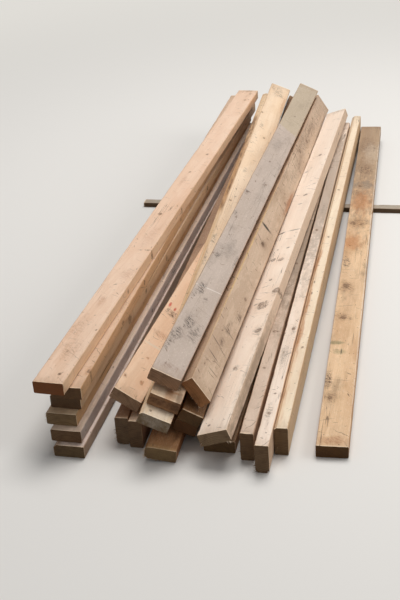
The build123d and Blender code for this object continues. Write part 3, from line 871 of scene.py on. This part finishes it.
            (345, 44, 14, 7, 3, "gash", 0.6), (700, 44, 12, 120, 9, "rust", 0.6),
            (980, 44, 12, 90, 9, "bark", 0.5), (460, 44, 13, 70, 8, "rust", 0.55))),
    "honey_single_board": dict(
        slot="honey_stained_pine", pale="e6c29a", late="b78c62", blush="b4855a", blush_share=0.8,
        side="e8cfae", end="6e4a24", end_late="4e3316", edge="ecdcc6", rim_share=0.3, planed=0.2,
        planed_tone="c2a284", dirt=0.55, dirt_tone="7d6752", ticks=0.8, rings=(-26, -70, 0.025, 3.4),
        seed=216,
        knots=((1408, -20, 19, 9, 1.5), (1400, 12, 19, 8, 1.4), (912, -18, 19, 10, 1.4), (698, -14, 19, 8),
            (236, -23, 19, 7, 1.6), (1758, -15, 19, 6, 1.4)),
        # The broad shade patch over the far half is painted shade.
        stains=((2200, -10, 19, 130, 44, "brown", 0.75), (2300, 0, 19, 1050, 400, "shade", 0.62),
            (2120, 16, 19, 130, 46, "pale", 0.24), (1926, -8, 19, 80, 44, "bark", 0.6),
            (1768, -6, 19, 50, 54, "grey", 0.8), (1600, 0, 19, 130, 50, "orange", 0.55),
            (1408, -4, 19, 50, 46, "bark", 0.8), (1246, -11, 19, 70, 52, "orange", 0.6),
            (1077, -30, 19, 50, 22, "soot", 0.9), (905, -16, 19, 46, 32, "bark", 0.85),
            (487, -7, 19, 20, 3, "gash", 0.9), (484, -10, 19, 20, 26, "green", 0.5),
            (698, -14, 19, 28, 28, "bark", 0.75), (539, -24, 19, 13, 36, "green", 0.85),
            (324, -36, 19, 60, 16, "bark", 0.95), (238, -20, 19, 34, 24, "bark", 0.6),
            (1200, 45, 19, 1300, 6, "pale", 0.6), (30, 0, 19, 24, 50, "rust", 0.6))),
    "cross_batten": dict(
        slot="batten_pine", pale="ac9e8c", late="908270", blush="988a78", side="a5927c", end="7d6a52",
        end_late="5e4c38", dirt=0.35, dirt_tone="6f604e", rings=(10, -40, 0.01, 2.6), seed=227,
        knots=((300, 0, 9.5, 3),)),
}

# Bunches of torn fibres at a board's near end, in millimetres: across, above, how far they spread and rise,
# how many, the longest, and which way they lean.
TORN_ENDS = {
    "splintered_floor_board": ((-42, -2, 1, 15, 26, 9, (-1.2, 0)), (-15, -18, 26, 1, 14, 6, (0, -0.6)),
                               (0, 18, 40, 1, 14, 4, (0, 0.7))),
    "outer_edgewise_board": ((-12, 17, 30, 2, 22, 9, (0, 1.2)), (-40, 0, 2, 14, 8, 7, (-0.5, 0))),
    "second_upright_board": ((-30, 17, 14, 2, 20, 11, (-0.2, 1.6)), (5, 18, 26, 1, 8, 6, (0, 1.4))),
    "first_upright_board": ((-20, 17, 22, 2, 10, 7, (0, 1.3)),),
    "third_upright_board": ((-30, 12, 12, 6, 8, 7, (-0.6, 0.8)),),
    "pale_wide_board": ((-42, -12, 3, 6, 10, 9, (-1.0, -0.3)), (38, -17, 8, 2, 14, 10, (0.8, -0.5))),
    "left_pile_third_board": ((-43, 0, 1, 15, 16, 7, (-1.2, 0)),),
    "left_pile_bottom_board": ((-43, -4, 2, 12, 8, 7, (-1.0, 0)), (10, -18, 30, 0, 8, 5, (0, -0.3))),
    "grey_top_board": ((0, -18, 38, 1, 14, 6, (0, -0.7)),),
    "tan_leaning_board": ((20, -18, 24, 1, 10, 6, (0, -0.8)),),
    "peach_slanting_board": ((-40, -8, 3, 8, 8, 6, (-0.9, -0.3)),),
}

for name, look in LOOKS.items():
    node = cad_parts[name]
    lie, half = lie_of(node.data)
    work = finely_cut(node.data, lie, half)
    worn(work, half, look)
    bmesh.ops.transform(work, matrix=lie, verts=work.verts)
    board = finished(work, name + "_sawn")
    wood = pine(name + "_wood", lie, half, look)
    board.data.materials.append(wood)
    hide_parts(name)
    if name in TORN_ENDS:
        torn = splinters(name + "_splinters", lie, half, look["seed"], TORN_ENDS[name])
        torn.data.materials.append(wood)


# ---- Floor, world and lights ----

BACKDROP = tone("e0ddd7")
FLOOR_SEEN, FLOOR_THROWN = tone("e6e2dc"), tone("6e6257")
FLOOR_SIZE, FADE_STARTS, FADE_ENDS = 30.0, 1.7, 4.6          # metres
SKY_TONE, SKY_STRENGTH = tone("eef1f5"), 0.3

# Lamps: name, place and size in metres, and power in watts.
LAMPS = (("high_lamp", (0.5, 1.7, 6.4), 3.6, 318.0),
         ("side_lamp", (3.6, -0.2, 2.6), 2.4, 60.0))
LAMP_AIM = Vector((0.0, 0.0, 0.1))


def seen_ray(n):
    """1 for what the camera, a gloss or a clear surface shows, and 0 for light on its way to the boards."""
    ray = n.add("ShaderNodeLightPath").outputs
    return n.highest(n.highest(ray["Is Camera Ray"], ray["Is Glossy Ray"]), ray["Is Transmission Ray"])


def lay_floor():
    """A plain pale floor that throws little light up at the boards and fades into the backdrop far out."""
    work = bmesh.new()
    bmesh.ops.create_grid(work, x_segments=1, y_segments=1, size=FLOOR_SIZE)
    mesh = bpy.data.meshes.new("floor")
    work.to_mesh(mesh)
    work.free()
    floor = bpy.data.objects.new("floor", mesh)
    scene.collection.objects.link(floor)
    paint = bpy.data.materials.new("floor_paint")
    paint.use_nodes = True
    paint.node_tree.nodes.clear()
    n = Nodes(paint.node_tree)
    seen = seen_ray(n)
    colour = n.mix(seen, FLOOR_THROWN, FLOOR_SEEN)
    gives = {"Base Color": colour, "Roughness": 0.9, "Specular IOR Level": 0.1}
    skin = n.add("ShaderNodeBsdfPrincipled", gives)
    plain = n.add("ShaderNodeEmission", {"Color": BACKDROP})
    out = n.vector("LENGTH", n.add("ShaderNodeTexCoord").outputs["Object"])
    far_out = n.times(n.step(out, FADE_STARTS, FADE_ENDS), seen)
    blend = n.add("ShaderNodeMixShader", {0: far_out, 1: skin.outputs[0], 2: plain.outputs[0]})
    n.add("ShaderNodeOutputMaterial", {"Surface": blend.outputs[0]})
    mesh.materials.append(paint)


def light_up():
    """A pale sky all round, a broad lamp high over the stack and a weak one on the right."""
    sky = bpy.data.worlds.new("sky")
    sky.use_nodes = True
    sky.node_tree.nodes.clear()
    n = Nodes(sky.node_tree)
    dim = n.add("ShaderNodeBackground", {"Color": SKY_TONE, "Strength": SKY_STRENGTH})
    plain = n.add("ShaderNodeBackground", {"Color": BACKDROP, "Strength": 1.0})
    both = n.add("ShaderNodeMixShader", {0: seen_ray(n), 1: dim.outputs[0], 2: plain.outputs[0]})
    n.add("ShaderNodeOutputWorld", {"Surface": both.outputs[0]})
    scene.world = sky
    for name, spot, size, power in LAMPS:
        lamp = bpy.data.lights.new(name, "AREA")
        lamp.size, lamp.energy = size, power
        holder = bpy.data.objects.new(name, lamp)
        holder.location = spot
        holder.rotation_mode = "QUATERNION"
        holder.rotation_quaternion = (LAMP_AIM - Vector(spot)).to_track_quat("-Z", "Y")
        scene.collection.objects.link(holder)


lay_floor()
light_up()
